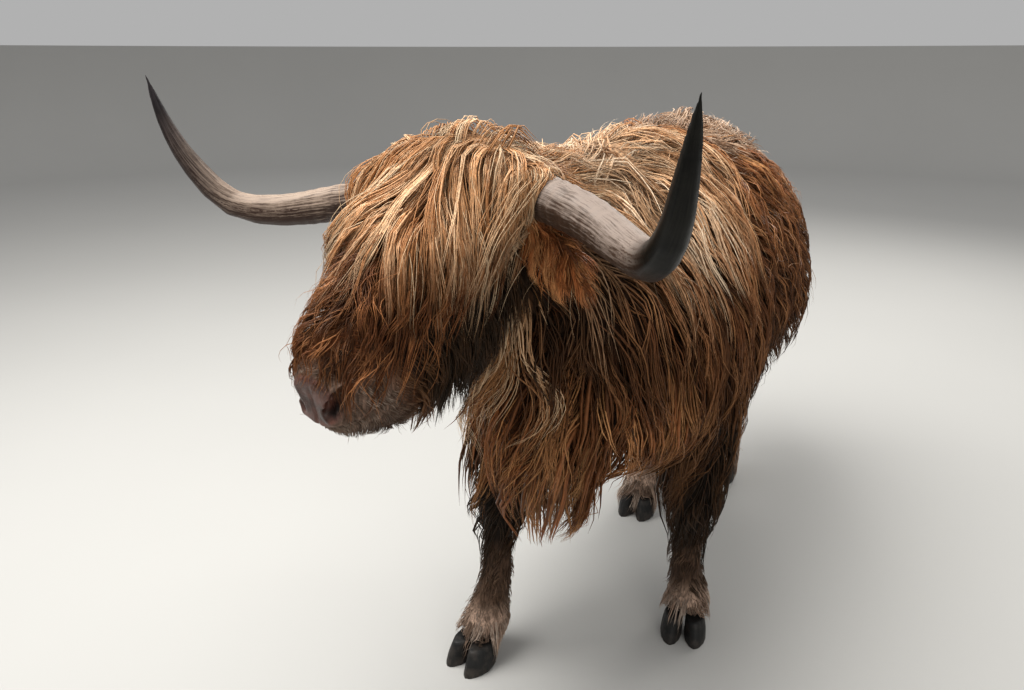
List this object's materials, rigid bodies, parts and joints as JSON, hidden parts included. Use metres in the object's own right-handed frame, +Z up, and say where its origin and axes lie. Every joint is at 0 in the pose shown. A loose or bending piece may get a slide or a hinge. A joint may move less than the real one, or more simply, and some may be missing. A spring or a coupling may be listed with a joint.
{
  "type": "highland cow",
  "caption": "Standing long-haired highland cow with wide upswept horns and a heavy forelock, its head turned a little to its right.",
  "frame": {"origin": "on the floor, below the middle of the box that the whole cow fills", "axes": "+Z up, -Y the way the cow's body faces, +X to the cow's left"},
  "size_m": [1.0658, 2.0127, 1.322],
  "materials": {
    "coat": "long, wavy ginger-brown hair",
    "forelock": "long golden hair with darker locks below",
    "short_coat": "short dark brown hair, pale above the hooves",
    "muzzle": "bare moist nose pad, grey-brown lips",
    "horn": "streaked keratin with dark tips",
    "hoof": "dark slate keratin",
    "eye": "wet, dark brown"
  },
  "bodies": {
    "root": {"trunk": "coat", "neck": "coat", "head": "coat", "ear_left": "coat", "ear_right": "coat", "breast_hair": "coat", "tail_dock": "coat", "tail_switch": "coat", "forelock": "forelock", "muzzle": "muzzle", "lower_jaw": "muzzle", "eye_left": "eye", "horn_left": "horn", "eye_right": "eye", "horn_right": "horn", "foreleg_right_upper": "coat", "foreleg_right_lower": "short_coat", "foreleg_right_claw_inner": "hoof", "foreleg_right_dewclaw_inner": "hoof", "foreleg_right_claw_outer": "hoof", "foreleg_right_dewclaw_outer": "hoof", "foreleg_left_upper": "coat", "foreleg_left_lower": "short_coat", "foreleg_left_claw_inner": "hoof", "foreleg_left_dewclaw_inner": "hoof", "foreleg_left_claw_outer": "hoof", "foreleg_left_dewclaw_outer": "hoof", "hindleg_right_upper": "coat", "hindleg_right_lower": "short_coat", "hindleg_right_claw_inner": "hoof", "hindleg_right_dewclaw_inner": "hoof", "hindleg_right_claw_outer": "hoof", "hindleg_right_dewclaw_outer": "hoof", "hindleg_left_upper": "coat", "hindleg_left_lower": "short_coat", "hindleg_left_claw_inner": "hoof", "hindleg_left_dewclaw_inner": "hoof", "hindleg_left_claw_outer": "hoof", "hindleg_left_dewclaw_outer": "hoof"}
  },
  "joints": []
}
